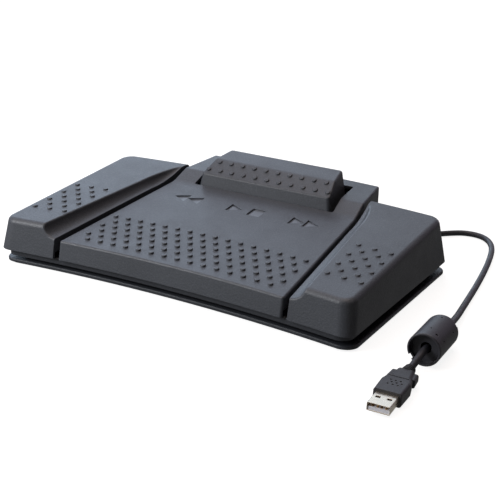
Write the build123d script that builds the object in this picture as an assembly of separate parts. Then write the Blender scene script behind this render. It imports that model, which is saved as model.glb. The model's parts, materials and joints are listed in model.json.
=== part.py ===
from build123d import *
import math
import os

# Four-pedal USB foot control for transcription: a left, a centre, a right and a top pedal on one base.
# Millimetres. X is to the user's right, Y is away from the user, Z is up, and the floor is Z = 0.
# While it is built, Y = 0 is the front middle of the base. At export everything moves by -MID_Y,
# so that the origin is the middle of the footprint, on the floor.

# ---- driving dimensions: covers -----------------------------------------------------------
BOW_RADIUS = 910.0          # the front and rear edges are arcs of this radius, hollow towards the user
WALL = 2.2                  # moulded wall of the pedal covers
SKIRT_GAP = 0.8             # room between a cover's skirt and the chassis wall inside it
SKIRT_Z = 9.9               # lower edge of the pedal covers

WING_FRONT = -3.9           # front face of the pedals at the skirt's lower edge, at X = 0
WING_REAR = 150.7           # rear face of the side pedals at the skirt's lower edge, at X = 0
WING_HALF = 122.7           # outer half width at the skirt's lower front corner
WING_CORNER = 8.0
WING_REAR_CORNER = 10.5     # the wall is thinner at this corner
WING_EDGE = 3.8
MOUTH_EDGE = 1.5            # rounding where the scoop meets the front face
WING_TOP_Z = 30.8           # height of the side pedals' top at Y = 0
WING_SLOPE = 0.076
FRONT_DRAFT = 0.165         # lean of the faces, in millimetres per millimetre of height
SIDE_DRAFT = 0.12
REAR_DRAFT = 0.365
WING_FLARE = 0.026          # the side pedals widen by this much per millimetre of depth
BASE_FLARE = 0.021          # and the base by this much
SLOT = 3.6                  # gap between the centre pedal and each side pedal
SIDE_SKIRT_Z = 13.7         # the skirts beside the slots end higher, to clear the deck

CENTRE_FRONT_HALF = 78.4    # half width of the centre pedal at its front corners
CENTRE_TAPER = 0.0675       # it narrows by this much per millimetre of depth
CENTRE_TOP_Z = 22.5         # height of the centre pedal's top at Y = 0
CENTRE_SLOPE = 0.1025
RAMP_Y = 113.0              # the top turns up into a ramp here
CREST_Y = 128.0
CREST_Z = 40.6
CENTRE_REAR_MID = 166.6     # rear edge of the centre pedal's top, at X = 0
CENTRE_REAR_HALF = 65.6
CENTRE_REAR_Z = 42.9
CENTRE_REAR_DRAFT = 0.08

TOP_FRONT_Y = 115.4         # front face of the top pedal where it leaves its window
TOP_FRONT_Z = 33.3
TOP_FRONT_HALF = 51.4
TOP_REAR_HALF = 47.3
TOP_DRAFT = 0.15
TOP_LEAN = 0.143
TOP_SKIRT_Z = 29.0
TOP_NOSE_Y = 116.8
TOP_NOSE_Z = 42.9
TOP_FACET_SLOPE = 0.56
TOP_BEND_Y = 131.0
TOP_BACK_Y = 149.4
TOP_BACK_Z = 53.8
WINDOW_FRONT_Y = 114.3
WINDOW_REAR_Y = 153.6
WINDOW_HALF = 53.4

BUMP_RADIUS = 1.65
BUMP_HEIGHT = 1.1
CENTRE_BUMP_PITCH = 9.2
CENTRE_BUMP_ROWS = (16, 15, 16, 15, 16, 15)     # from the rearmost row to the front one
CENTRE_BUMP_REAR_Y = 44.6
CENTRE_BUMP_STEP = 7.43
WING_BUMP_X = 93.0
WING_BUMP_Y = 18.8
WING_BUMP_STEP_X = 10.9
WING_BUMP_STEP_Y = 14.95
TOP_BUMP_PITCH = 9.15
TOP_BUMP_ROWS = ((121.0, 11), (128.3, 10))
SYMBOL_Y = 91.0
SYMBOL_DEPTH = 0.9

# ---- driving dimensions: base and works ---------------------------------------------------
BASE_FRONT_HALF = 122.5
BASE_CORNER = 8.5
BASE_REAR_MID = 151.0
MAT_TOP = 0.8
RIM_TOP = 2.8
WAIST_INSET = 7.0
WAIST_WALL = 2.0
DECK_Z = 5.8
DECK_TOP = 7.8
CHASSIS_WALL_TOP = 9.6
CHASSIS_WALL = 2.0

HINGE_Y = 131.0
HINGE_Z = 16.0
ROD_RADIUS = 2.0
TOP_HINGE_Y = 145.0
TOP_HINGE_Z = 38.0
PIN_RADIUS = 1.5
FIXED_FIT = 0.02            # radial clearance of a rod in the frame that holds it
RUNNING_FIT = 0.06          # radial clearance of a rod in a part that turns on it

SWITCH_Y = 108.0            # side switches, ahead of the hinge
CENTRE_SWITCH_Y = 104.0
SWITCH_SIZE = (12.8, 5.8, 6.5)
TOP_SWITCH_Y = 137.5
TOP_SWITCH_SEAT = 24.0
PLUNGER_RADIUS = 1.2
PLUNGER_RISE = 1.3
TOUCH_GAP = 0.3
WING_MID_X = 96.0

SPRING_Y = 60.0             # side springs
CENTRE_SPRING = (45.0, 50.0)
TOP_SPRING_Y = 122.5
WING_SPRING_TOP = 30.0
CENTRE_SPRING_TOP = 23.0
TOP_SPRING_TOP = 40.0
STOP_Y = 8.0
STOP_TOP = 16.0             # top of the rubber stops
STOP_RIB_Z = 19.55          # ribs of the covers that land on them
CATCH_Y = 94.0
BOARD = (-58.0, -14.0, 62.0, 106.0)
BOARD_Z = 10.8

CABLE_RADIUS = 2.0
EXIT_X = 46.0
EXIT_Z = 6.8
COIL_X = 19.9
COIL_Y = 205.0
COIL_RADIUS = 22.0          # middle of the turns
COIL_PITCH = 4.1
COIL_LAYERS = 4
PLUG_X = 160.0
PLUG_Z = 4.25
PLUG_YAW = 2.1              # the plug is turned about its tip, in degrees

CENTRE_REAR_SKIRT = CENTRE_REAR_MID + CENTRE_REAR_DRAFT * (CENTRE_REAR_Z - SKIRT_Z)
FRONT_CORNER_Y = WING_FRONT - (WING_HALF - WING_CORNER)**2 / (2 * BOW_RADIUS)
MID_Y = (FRONT_CORNER_Y + CENTRE_REAR_SKIRT) / 2


# ---- helpers ------------------------------------------------------------------------------
def bow(x, y_mid):
    """Y at x of a front or rear edge whose middle is at y_mid."""
    return y_mid - BOW_RADIUS + math.sqrt(BOW_RADIUS**2 - x**2)


def bow_edge(x0, x1, y_mid, z):
    xm = (x0 + x1) / 2
    return ThreePointArc((x0, bow(x0, y_mid), z), (xm, bow(xm, y_mid), z), (x1, bow(x1, y_mid), z))


def box(x0, x1, y0, y1, z0, z1):
    return Pos((x0 + x1) / 2, (y0 + y1) / 2, (z0 + z1) / 2) * Box(x1 - x0, y1 - y0, z1 - z0)


def post(x, y, z0, z1, radius):
    return Pos(x, y, (z0 + z1) / 2) * Cylinder(radius, z1 - z0)


def bar_x(x0, x1, y, z, radius):
    return Pos((x0 + x1) / 2, y, z) * Rot(0, 90, 0) * Cylinder(radius, x1 - x0)


def bar_y(x, y0, y1, z, radius):
    return Pos(x, (y0 + y1) / 2, z) * Rot(90, 0, 0) * Cylinder(radius, y1 - y0)


def mirrored(shape):
    return mirror(shape, about=Plane.YZ)


def below_line(points, radii, half):
    """The solid under a (y, z) line, from -half to half in X and down past the floor."""
    line = [(-half, y, z) for y, z in points]
    top = FilletPolyline(*line, radius=radii) if radii else Polyline(*line)
    first, last, low = line[0], line[-1], -20.0
    sides = Polyline(last, (-half, last[1], low), (-half, first[1], low), first)
    return extrude(Face(Wire(top.edges() + sides.edges())), amount=2 * half, dir=(1, 0, 0))


def upright_edges(solid):
    return solid.edges().filter_by(lambda e: abs(e.tangent_at(0.5).Z) > 0.9)


def rim_of_top(solid, floor):
    """Edges between an upward face and a steep one, above the floor height."""
    flat = [f for f in solid.faces() if f.normal_at().Z > 0.75 and f.center().Z > floor]
    steep = [f for f in solid.faces() if abs(f.normal_at().Z) < 0.6]
    borders = {e for f in flat for e in f.edges()}
    return ShapeList([e for f in steep for e in f.edges() if e in borders])


def centre_half(y):
    return CENTRE_FRONT_HALF - CENTRE_TAPER * (y + 5.0)


def centre_z(y):
    return CENTRE_TOP_Z + CENTRE_SLOPE * y


def wing_z(y):
    return WING_TOP_Z + WING_SLOPE * y


def facet_z(y):
    return TOP_NOSE_Z + TOP_FACET_SLOPE * (y - TOP_NOSE_Y)


# ---- bumps and symbols --------------------------------------------------------------------
def bump(sink):
    """A low round stud with a rounded shoulder. Sink lowers it into the surface."""
    shoulder = 0.45
    top = BUMP_HEIGHT - sink
    neck = (BUMP_RADIUS, top - shoulder)
    crown = (BUMP_RADIUS - shoulder, top)
    middle = (BUMP_RADIUS - shoulder * 0.293, top - shoulder * 0.293)
    outline = Polyline(crown, (0, top), (0, -0.9), (BUMP_RADIUS, -0.9), neck).edges()
    outline += ThreePointArc(neck, middle, crown).edges()
    return revolve(Plane.XZ * Face(Wire(outline)), Axis.Z)


def studs(places, height, slope, sink):
    tilt = math.degrees(math.atan(slope))
    pattern = Rot(tilt, 0, 0) * bump(sink)
    return [Pos(x, y, height(y)) * pattern for x, y in places]


def centre_bumps():
    places = []
    for row, count in enumerate(CENTRE_BUMP_ROWS):
        for i in range(count):
            x = (i - (count - 1) / 2) * CENTRE_BUMP_PITCH
            places.append((x, bow(x, CENTRE_BUMP_REAR_Y - row * CENTRE_BUMP_STEP)))
    return studs(places, centre_z, CENTRE_SLOPE, 0.0)


def wing_bumps():
    cells = [(column, row) for column in range(3) for row in range(4)]
    cells += [(column + 0.5, row + 0.5) for column in range(2) for row in range(3)]
    places = []
    for column, row in cells:
        x = WING_BUMP_X + column * WING_BUMP_STEP_X
        y = WING_BUMP_Y + row * WING_BUMP_STEP_Y
        places.append((x, bow(x, y) - bow(WING_BUMP_X, 0)))
    return studs(places, wing_z, WING_SLOPE, 0.25)


def top_bumps():
    places = []
    for y, count in TOP_BUMP_ROWS:
        places += [((i - (count - 1) / 2) * TOP_BUMP_PITCH, y) for i in range(count)]
    return studs(places, facet_z, TOP_FACET_SLOPE, 0.2)


def symbols():
    """Generic tape-transport signs: rewind, play and stop, fast forward."""
    slope = math.atan(CENTRE_SLOPE)
    upward = (0, -math.sin(slope), math.cos(slope))
    surface = Plane(origin=(0, SYMBOL_Y, centre_z(SYMBOL_Y)), x_dir=(1, 0, 0), z_dir=upward)
    height, length, step = 11.0, 10.0, 10.4
    arrow = [(0, -height / 2), (length, 0), (0, height / 2)]
    outlines = []
    for sign in (-1, 1):
        for start in (34.0, 34.0 + step):
            outlines.append([(sign * (start + x), y) for x, y in arrow])
    outlines.append([(x - 12.0, y) for x, y in arrow])
    outlines.append([(4.0, -height / 2), (13.0, -height / 2), (13.0, height / 2), (4.0, height / 2)])
    cutters = []
    for outline in outlines:
        face = Face(Wire(Polyline(*outline, close=True).edges()))
        cutters.append(extrude(surface * face, amount=SYMBOL_DEPTH, both=True))
    return cutters


# ---- pedal covers -------------------------------------------------------------------------
def wing_outline(z, inset):
    """Outline of the right side pedal at height z, moved inwards by inset."""
    rise = z - SKIRT_Z
    front = WING_FRONT + FRONT_DRAFT * rise + inset
    rear = WING_REAR - REAR_DRAFT * rise - inset
    inner_front = centre_half(-5.0) + SLOT + inset
    inner_rear = centre_half(148.0) + SLOT + inset
    outer_front = WING_HALF - SIDE_DRAFT * rise - inset
    outer_rear = outer_front + WING_FLARE * (WING_REAR - WING_FRONT)
    front_edge = bow_edge(inner_front, outer_front, front, z)
    rear_edge = bow_edge(outer_rear, inner_rear, rear, z)
    outer_side = Line(front_edge @ 1, rear_edge @ 0)
    inner_side = Line(rear_edge @ 1, front_edge @ 0)
    return Face(Wire([front_edge, outer_side, rear_edge, inner_side]))


def cove(extra):
    """The scoop along the side pedal's inner edge, which runs out at the centre pedal's crest."""
    stations = ((-16.0, 10.0, 0.0), (92.0, 6.6, 0.0), (116.0, 4.4, 1.2), (130.0, 1.2, 5.0))
    rings = []
    for y, radius, lift in stations:
        centre = (centre_half(y) + SLOT - 0.6, y, centre_z(y) + 0.6 + lift + radius)
        rings.append(Plane(origin=centre, x_dir=(1, 0, 0), z_dir=(0, 1, 0)) * Circle(radius + extra))
    return loft(rings[:2], ruled=True) + loft(rings[1:])


def cove_mouth(solid):
    """The edge between the scoop and the front face."""
    low = centre_z(0) + 0.2
    high = wing_z(0) - WING_EDGE - 0.2
    reach = centre_half(0) + SLOT + 10.0
    front = solid.edges().filter_by(lambda e: e.center().Y < WING_FRONT + 2 and e.center().X < reach)
    return front.filter_by(lambda e: low < e.center().Z < high)


def lug(x, y, z, radius, hole, roof):
    """A hanging plate, four wide, that turns on a rod along X."""
    plate = box(x - 2, x + 2, y - radius, y + radius, z, roof)
    return plate + bar_x(x - 2, x + 2, y, z, radius) - bar_x(x - 3, x + 3, y, z, hole)


def catch(x, high):
    """A hook that holds the pedal down: it passes the deck and bears on its underside."""
    stem = box(x - 2.5, x + 2.5, CATCH_Y, CATCH_Y + 2.5, 4.3, high)
    return stem + box(x - 2.5, x + 2.5, CATCH_Y - 3.0, CATCH_Y + 0.1, 4.3, DECK_Z - TOUCH_GAP)


def side_works():
    """What hangs inside a side pedal: hinge lugs, switch post, spring seat, stop rib and catch."""
    high = 50.0
    pieces = [lug(x, HINGE_Y, HINGE_Z, 5.0, ROD_RADIUS + RUNNING_FIT, high) for x in (81.4, 111.5)]
    pieces.append(post(WING_MID_X, SWITCH_Y, SWITCH_TOUCH_Z, high, 2.5))
    pieces.append(post(WING_MID_X, SPRING_Y, WING_SPRING_TOP, high, 6.5))
    pieces.append(post(WING_MID_X, STOP_Y, STOP_RIB_Z, high, 3.5))
    pieces.append(catch(WING_MID_X, high))
    return pieces


def centre_works():
    high = 60.0
    pieces = [lug(x, HINGE_Y, HINGE_Z, 5.0, ROD_RADIUS + RUNNING_FIT, high) for x in (-56.0, 56.0)]
    pieces.append(post(CENTRE_SWITCH_X, CENTRE_SWITCH_Y, SWITCH_TOUCH_Z, high, 2.5))
    for side in (-1, 1):
        pieces.append(post(side * CENTRE_SPRING[0], CENTRE_SPRING[1], CENTRE_SPRING_TOP, high, 6.5))
        pieces.append(post(side * CENTRE_STOP_X, STOP_Y, STOP_RIB_Z, high, 3.5))
    pieces.append(catch(0.0, high))
    return pieces


def top_works():
    high = 60.0
    pieces = [lug(x, TOP_HINGE_Y, TOP_HINGE_Z, 4.0, PIN_RADIUS + RUNNING_FIT, high) for x in (-35.5, 35.5)]
    pieces.append(post(0, TOP_SWITCH_Y, TOP_SWITCH_SEAT + SWITCH_RISE, high, 2.2))
    pieces.append(post(0, TOP_SPRING_Y, TOP_SPRING_TOP, high, 5.5))
    return pieces


def outer_corner(solid, near):
    """The upright edge at the outer corner, near the user or away from the user."""
    return upright_edges(solid).filter_by(lambda e: e.center().X > WING_MID_X and (e.center().Y < 70) == near)


def side_pedal():
    """The right side pedal's cover."""
    outer = loft([wing_outline(SKIRT_Z, 0), wing_outline(50.0, 0)], ruled=True)
    for near, radius in ((True, WING_CORNER), (False, WING_REAR_CORNER)):
        outer = fillet(outer_corner(outer, near), radius)
    outer = outer & below_line([(-40, wing_z(-40)), (190, wing_z(190))], None, 140)
    outer = fillet(rim_of_top(outer, 20).sort_by(Axis.X)[1:], WING_EDGE)
    cavity = loft([wing_outline(SKIRT_Z - 8, WALL), wing_outline(50.0, WALL)], ruled=True)
    for near in (True, False):
        cavity = fillet(outer_corner(cavity, near), WING_CORNER - WALL)
    cavity = cavity & below_line([(-40, wing_z(-40) - WALL), (190, wing_z(190) - WALL)], None, 140)
    scooped = outer - cove(0)
    scooped = fillet(cove_mouth(scooped), MOUTH_EDGE)
    shell = scooped - (cavity - cove(WALL))
    skirt_inside = centre_half(-5.0) + SLOT + WALL
    shell = shell - box(60, skirt_inside + 0.2, -5.5, 136.0, 0, SIDE_SKIRT_Z)
    keep = outer + box(70, 120, 0, 150, 0, SKIRT_Z + 5)
    shell = shell.fuse(*[piece & keep for piece in side_works()])
    return shell.fuse(*wing_bumps())


def centre_outline(z, inset):
    rise = z - SKIRT_Z
    front = WING_FRONT + FRONT_DRAFT * rise + inset
    rear = CENTRE_REAR_MID + CENTRE_REAR_DRAFT * (CENTRE_REAR_Z - z) - inset
    half_front = centre_half(-5.0) - inset
    half_crest = centre_half(CREST_Y) - inset
    half_rear = CENTRE_REAR_HALF - inset
    front_edge = bow_edge(-half_front, half_front, front, z)
    rear_edge = bow_edge(half_rear, -half_rear, rear, z)
    right = Polyline(front_edge @ 1, (half_crest, CREST_Y, z), rear_edge @ 0).edges()
    left = Polyline(rear_edge @ 1, (-half_crest, CREST_Y, z), front_edge @ 0).edges()
    return Face(Wire([front_edge, *right, rear_edge, *left]))


def centre_profile(drop):
    rear_slope = (CENTRE_REAR_Z - CREST_Z) / (CENTRE_REAR_MID - CREST_Y)
    points = [
        (-40, centre_z(-40) - drop),
        (RAMP_Y, centre_z(RAMP_Y) - drop),
        (CREST_Y, CREST_Z - drop),
        (200, CREST_Z + rear_slope * (200 - CREST_Y) - drop),
    ]
    return below_line(points, [22.0, 5.0], 100)


def window():
    """The opening that the top pedal stands in."""
    half_rear = WINDOW_HALF - 2.6
    corners = [
        (-WINDOW_HALF, WINDOW_FRONT_Y),
        (WINDOW_HALF, WINDOW_FRONT_Y),
        (half_rear, WINDOW_REAR_Y),
        (-half_rear, WINDOW_REAR_Y),
    ]
    hole = extrude(Pos(0, 0, 26) * Face(Wire(Polyline(*corners, close=True).edges())), amount=30)
    return fillet(upright_edges(hole), 1.5)


def centre_pedal():
    outer = loft([centre_outline(SKIRT_Z, 0), centre_outline(60.0, 0)], ruled=True)
    outer = outer & centre_profile(0)
    outer = fillet(upright_edges(outer).filter_by(lambda e: abs(e.center().Y - CREST_Y) > 5), 1.5)
    outer = fillet(rim_of_top(outer, 18), 1.3)
    cavity = loft([centre_outline(SKIRT_Z - 8, WALL), centre_outline(60.0, WALL)], ruled=True)
    cavity = cavity & centre_profile(WALL)
    shell = outer - cavity - window()
    for side in (-1, 1):
        x0, x1 = sorted((side * 66.0, side * 90.0))
        shell = shell - box(x0, x1, -5.0, 136.0, 0, SIDE_SKIRT_Z)
    keep = outer + box(-60, 60, 0, 150, 0, SKIRT_Z + 5)
    shell = shell.fuse(*[piece & keep for piece in centre_works()])
    for cutter in symbols():
        shell = shell - cutter
    return shell.fuse(*centre_bumps())


def top_outline(z, inset):
    rise = z - TOP_SKIRT_Z
    front = TOP_FRONT_Y + TOP_LEAN * (z - TOP_FRONT_Z) + inset
    rear = TOP_BACK_Y + TOP_LEAN * (TOP_BACK_Z - z) - inset
    half_front = TOP_FRONT_HALF - TOP_DRAFT * rise - inset
    half_rear = TOP_REAR_HALF - TOP_DRAFT * rise - inset
    corners = [(-half_front, front, z), (half_front, front, z), (half_rear, rear, z), (-half_rear, rear, z)]
    return Face(Wire(Polyline(*corners, close=True).edges()))


def top_profile(drop):
    back_slope = (TOP_BACK_Z - facet_z(TOP_BEND_Y)) / (TOP_BACK_Y - TOP_BEND_Y)
    points = [
        (90, facet_z(90) - drop),
        (TOP_BEND_Y, facet_z(TOP_BEND_Y) - drop),
        (175, TOP_BACK_Z + back_slope * (175 - TOP_BACK_Y) - drop),
    ]
    return below_line(points, [6.0], 80)


def top_pedal():
    outer = loft([top_outline(TOP_SKIRT_Z, 0), top_outline(64.0, 0)], ruled=True)
    outer = fillet(upright_edges(outer), 2.6)
    outer = outer & top_profile(0)
    outer = fillet(rim_of_top(outer, 30), 1.5)
    cavity = loft([top_outline(TOP_SKIRT_Z - 5, WALL), top_outline(64.0, WALL)], ruled=True)
    cavity = cavity & top_profile(WALL + 0.3)
    shell = outer - cavity
    keep = outer + box(-45, 45, 118, 148, 20, 32)
    shell = shell.fuse(*[piece & keep for piece in top_works()])
    return shell.fuse(*top_bumps())


# ---- base ---------------------------------------------------------------------------------
def base_outline(inset):
    """Outline of the base: full width to the side pedals' rear, then a tab behind the centre pedal."""
    front_half = BASE_FRONT_HALF - inset
    rear_half = BASE_FRONT_HALF + BASE_FLARE * BASE_REAR_MID - inset
    front_edge = bow_edge(-front_half, front_half, inset, 0)
    rear_edge = bow_edge(rear_half, -rear_half, BASE_REAR_MID - inset, 0)
    plate = Face(Wire([front_edge, Line(front_edge @ 1, rear_edge @ 0), rear_edge,
                       Line(rear_edge @ 1, front_edge @ 0)]))
    plate = fillet(plate.vertices(), BASE_CORNER)
    tab_half = CENTRE_REAR_HALF - 2.0 - inset
    tab = Pos(0, 140) * Rectangle(2 * tab_half, 2 * (CENTRE_REAR_SKIRT - 1.0 - inset - 140))
    return plate + tab


def chassis_outline(inset):
    side = WING_HALF - WALL - SKIRT_GAP - inset
    rear_side = side + WING_FLARE * WING_REAR
    front = WING_FRONT + WALL + SKIRT_GAP + inset
    rear = WING_REAR - WALL - SKIRT_GAP - inset
    front_edge = bow_edge(-side, side, front, 0)
    rear_edge = bow_edge(rear_side, -rear_side, rear, 0)
    plate = Face(Wire([front_edge, Line(front_edge @ 1, rear_edge @ 0), rear_edge,
                       Line(rear_edge @ 1, front_edge @ 0)]))
    plate = fillet(plate.vertices(), WING_CORNER)
    tab_half = CENTRE_REAR_HALF - WALL - SKIRT_GAP - inset
    tab_rear = CENTRE_REAR_SKIRT - WALL - SKIRT_GAP - 2.4 - inset
    return plate + Pos(0, 140) * Rectangle(2 * tab_half, 2 * (tab_rear - 140))


def slab(face, z0, z1):
    return extrude(Pos(0, 0, z0) * face, amount=z1 - z0)


def non_slip_mat():
    return slab(base_outline(1.2), 0, MAT_TOP)


def base_tray():
    tray = slab(base_outline(0), MAT_TOP, RIM_TOP)
    tray = chamfer(tray.faces().sort_by(Axis.Z)[-1].edges(), 0.5)
    waist = slab(base_outline(WAIST_INSET), RIM_TOP, DECK_Z)
    waist = waist - slab(base_outline(WAIST_INSET + WAIST_WALL), RIM_TOP, DECK_Z)
    tray = tray + waist
    for x, y in CASE_SCREWS:
        tray = tray + post(x, y, RIM_TOP, DECK_Z, 4.0) - post(x, y, 0, DECK_Z, 1.7)
        tray = tray - post(x, y, MAT_TOP, MAT_TOP + 1.5, 3.0)
    return tray - box(EXIT_X - 5, EXIT_X + 5, 150, 164, RIM_TOP, DECK_Z + 1)


def ballast_plate():
    return fillet(upright_edges(box(-88, 88, 24, 88, RIM_TOP, RIM_TOP + 2.0)), 4.0)


def chassis_frame():
    deck = slab(chassis_outline(0), DECK_Z, DECK_TOP)
    rim = slab(chassis_outline(0), DECK_TOP, CHASSIS_WALL_TOP)
    frame = deck + (rim - slab(chassis_outline(CHASSIS_WALL), DECK_TOP, CHASSIS_WALL_TOP))
    posts = [box(x - 1.5, x + 1.5, HINGE_Y - 4.5, HINGE_Y + 4.5, DECK_TOP - 0.5, HINGE_Z + 4.5)
             for x in (-116, -77.3, -60, 60, 77.3, 116)]
    posts.append(box(-8, 8, 130, 144, DECK_TOP - 0.5, TOP_SWITCH_SEAT))
    for side in (-1, 1):
        x0, x1 = sorted((side * 38.5, side * 41.5))
        posts.append(box(x0, x1, TOP_HINGE_Y - 3.8, TOP_HINGE_Y + 2.6, DECK_TOP - 0.5, TOP_HINGE_Z + 4.0))
        posts.append(post(side * WING_MID_X, STOP_Y, DECK_TOP - 0.5, STOP_TOP - 2.0, 4.0))
        posts.append(post(side * CENTRE_STOP_X, STOP_Y, DECK_TOP - 0.5, STOP_TOP - 2.0, 4.0))
    posts.append(post(0, TOP_SPRING_Y, DECK_TOP - 0.5, TOP_SWITCH_SEAT, 5.0))
    posts += [post(x, y, DECK_TOP - 0.5, BOARD_Z, 2.5) for x, y in BOARD_SCREWS]
    posts += [post(x, y, DECK_TOP - 0.5, CLAMP_Z, 2.2) for x, y in CLAMP_SCREWS]
    posts += [post(x, y, DECK_TOP - 0.5, 13.0, 3.2) for x, y in CASE_SCREWS]
    frame = frame.fuse(*posts)
    cuts = [bar_x(-125, 125, HINGE_Y, HINGE_Z, ROD_RADIUS + FIXED_FIT)]
    cuts.append(bar_x(-45, 45, TOP_HINGE_Y, TOP_HINGE_Z, PIN_RADIUS + FIXED_FIT))
    for x in (-WING_MID_X, 0, WING_MID_X):
        cuts.append(box(x - 3.5, x + 3.5, CATCH_Y - 0.7, CATCH_Y + 3.5, 5, 8))
    cuts += [post(x, y, BOARD_Z - 4, BOARD_Z + 1, 1.1) for x, y in BOARD_SCREWS]
    cuts += [post(x, y, CLAMP_Z - 3.6, CLAMP_Z + 1, 1.1) for x, y in CLAMP_SCREWS]
    cuts += [post(x, y, 5, 11.5, 1.5) for x, y in CASE_SCREWS]
    cuts.append(box(EXIT_X - 5, EXIT_X + 5, 146.5, EXIT_WALL_Y - 2.1, 5, DECK_TOP + 0.1))
    cuts.append(bar_y(EXIT_X, EXIT_WALL_Y - 3, EXIT_WALL_Y + 2, EXIT_Z, 3.0))
    cuts.append(box(EXIT_X - 3, EXIT_X + 3, EXIT_WALL_Y - 3, EXIT_WALL_Y + 2, EXIT_Z, 12))
    for cutter in cuts:
        frame = frame - cutter
    return frame


# ---- works --------------------------------------------------------------------------------
def spring(x, y, low, high, radius, wire, turns):
    rise = high - low - 2 * wire
    path = Pos(x, y, low + wire) * Helix(pitch=rise / turns, height=rise, radius=radius)
    start = Plane(origin=path @ 0, z_dir=path % 0)
    return sweep(start * Circle(wire), path=path, is_frenet=True)


def switch(x, y, seat):
    """A small snap-action switch: its case, without the plunger."""
    length, width, height = SWITCH_SIZE
    case = box(x - length / 2, x + length / 2, y - width / 2, y + width / 2, seat, seat + height)
    case = fillet(upright_edges(case), 0.5)
    bore = post(x, y, seat + 2.0, seat + height + 1, PLUNGER_RADIUS + RUNNING_FIT)
    holes = [bar_y(x + dx, y - 4, y + 4, seat + 1.6, 1.0) for dx in (-3.25, 3.25)]
    return case - bore - holes[0] - holes[1]


def plunger(x, y, seat):
    low = seat + 4.0
    high = seat + SWITCH_SIZE[2] + PLUNGER_RISE
    pin = post(x, y, low, high, PLUNGER_RADIUS)
    return fillet(pin.edges().sort_by(Axis.Z)[-1:], 0.5)


def screw(x, y, z, head, shank, length, up):
    """A pan-head screw whose head rests at height z; up is the way its shank points."""
    ends = sorted((z, z + up * length))
    body = post(x, y, ends[0], ends[1], shank)
    top = z - up * head * 0.5
    caps = sorted((z, top))
    cap = post(x, y, caps[0], caps[1], head)
    return body + cap - box(x - head, x + head, y - 0.3, y + 0.3, top - 0.4, top + 0.4)


def circuit_board():
    x0, x1, y0, y1 = BOARD
    board = box(x0, x1, y0, y1, BOARD_Z, BOARD_Z + 1.6)
    for x, y in BOARD_SCREWS:
        board = board - post(x, y, BOARD_Z - 1, BOARD_Z + 3, 1.3)
    return board


def controller_chip():
    x, y, z = -38.0, 82.0, BOARD_Z + 1.6
    chip = box(x - 3.5, x + 3.5, y - 3.5, y + 3.5, z + 0.1, z + 1.3)
    legs = []
    for i in range(8):
        offset = (i - 3.5) * 0.8
        legs.append(box(x - 4.5, x + 4.5, y + offset - 0.15, y + offset + 0.15, z, z + 0.5))
        legs.append(box(x + offset - 0.15, x + offset + 0.15, y - 4.5, y + 4.5, z, z + 0.5))
    return chip.fuse(*legs)


def crystal_can():
    z = BOARD_Z + 1.6
    can = box(-30.0, -19.0, 68.0, 72.5, z, z + 3.5)
    return fillet(upright_edges(can), 2.0)


def board_connector():
    z = BOARD_Z + 1.6
    return box(-20.0, -12.0 - 3.0, 92.0, LEAD_END[1], z, z + 5.5)


def path_radii(points):
    """One fillet radius for each corner: 0.45 of the shorter run over the tangent of half the turn."""
    radii = []
    for a, b, c in zip(points, points[1:], points[2:]):
        before = Vector(*b) - Vector(*a)
        after = Vector(*c) - Vector(*b)
        half_turn = math.radians(before.get_angle(after)) / 2
        radii.append(0.45 * min(before.length, after.length) / math.tan(half_turn))
    return radii


def tube(points, radius):
    path = FilletPolyline(*points, radius=path_radii(points))
    wire = Wire(path.edges())
    start = Plane(origin=wire @ 0, z_dir=wire % 0)
    return sweep(start * Circle(radius), path=wire), wire.length


# ---- cord ---------------------------------------------------------------------------------
def cable_gland():
    """Rubber bush: a flange inside the chassis wall, a waist in it and a tapered nose outside."""
    wall = EXIT_WALL_Y
    nose = Pos(EXIT_X, wall + 0.2, EXIT_Z) * Rot(-90, 0, 0) * Cone(
        2.95, 2.5, NOSE_END - wall - 0.2, align=(Align.CENTER, Align.CENTER, Align.MIN)
    )
    flange = bar_y(EXIT_X, wall - 6.0, wall - 2.3, EXIT_Z, 3.9)
    gland = flange + bar_y(EXIT_X, wall - 2.4, wall + 0.4, EXIT_Z, 2.9) + nose
    for i in range(3):
        y = wall + 4.0 + 4.0 * i
        gland = gland - (bar_y(EXIT_X, y, y + 1.2, EXIT_Z, 4.0) - bar_y(EXIT_X, y - 1, y + 2, EXIT_Z, 2.35))
    return gland - bar_y(EXIT_X, NOSE_END - 3.0, NOSE_END + 1.0, EXIT_Z, CABLE_RADIUS)


def coil_solid():
    outer = COIL_RADIUS + COIL_PITCH + CABLE_RADIUS
    inner = COIL_RADIUS - COIL_PITCH - CABLE_RADIUS
    height = 2 * CABLE_RADIUS + (COIL_LAYERS - 1) * COIL_PITCH
    ring = post(COIL_X, COIL_Y, 0.05, 0.05 + height, outer) - post(COIL_X, COIL_Y, 0, height + 1, inner)
    return fillet(ring.edges(), 1.6)


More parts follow.
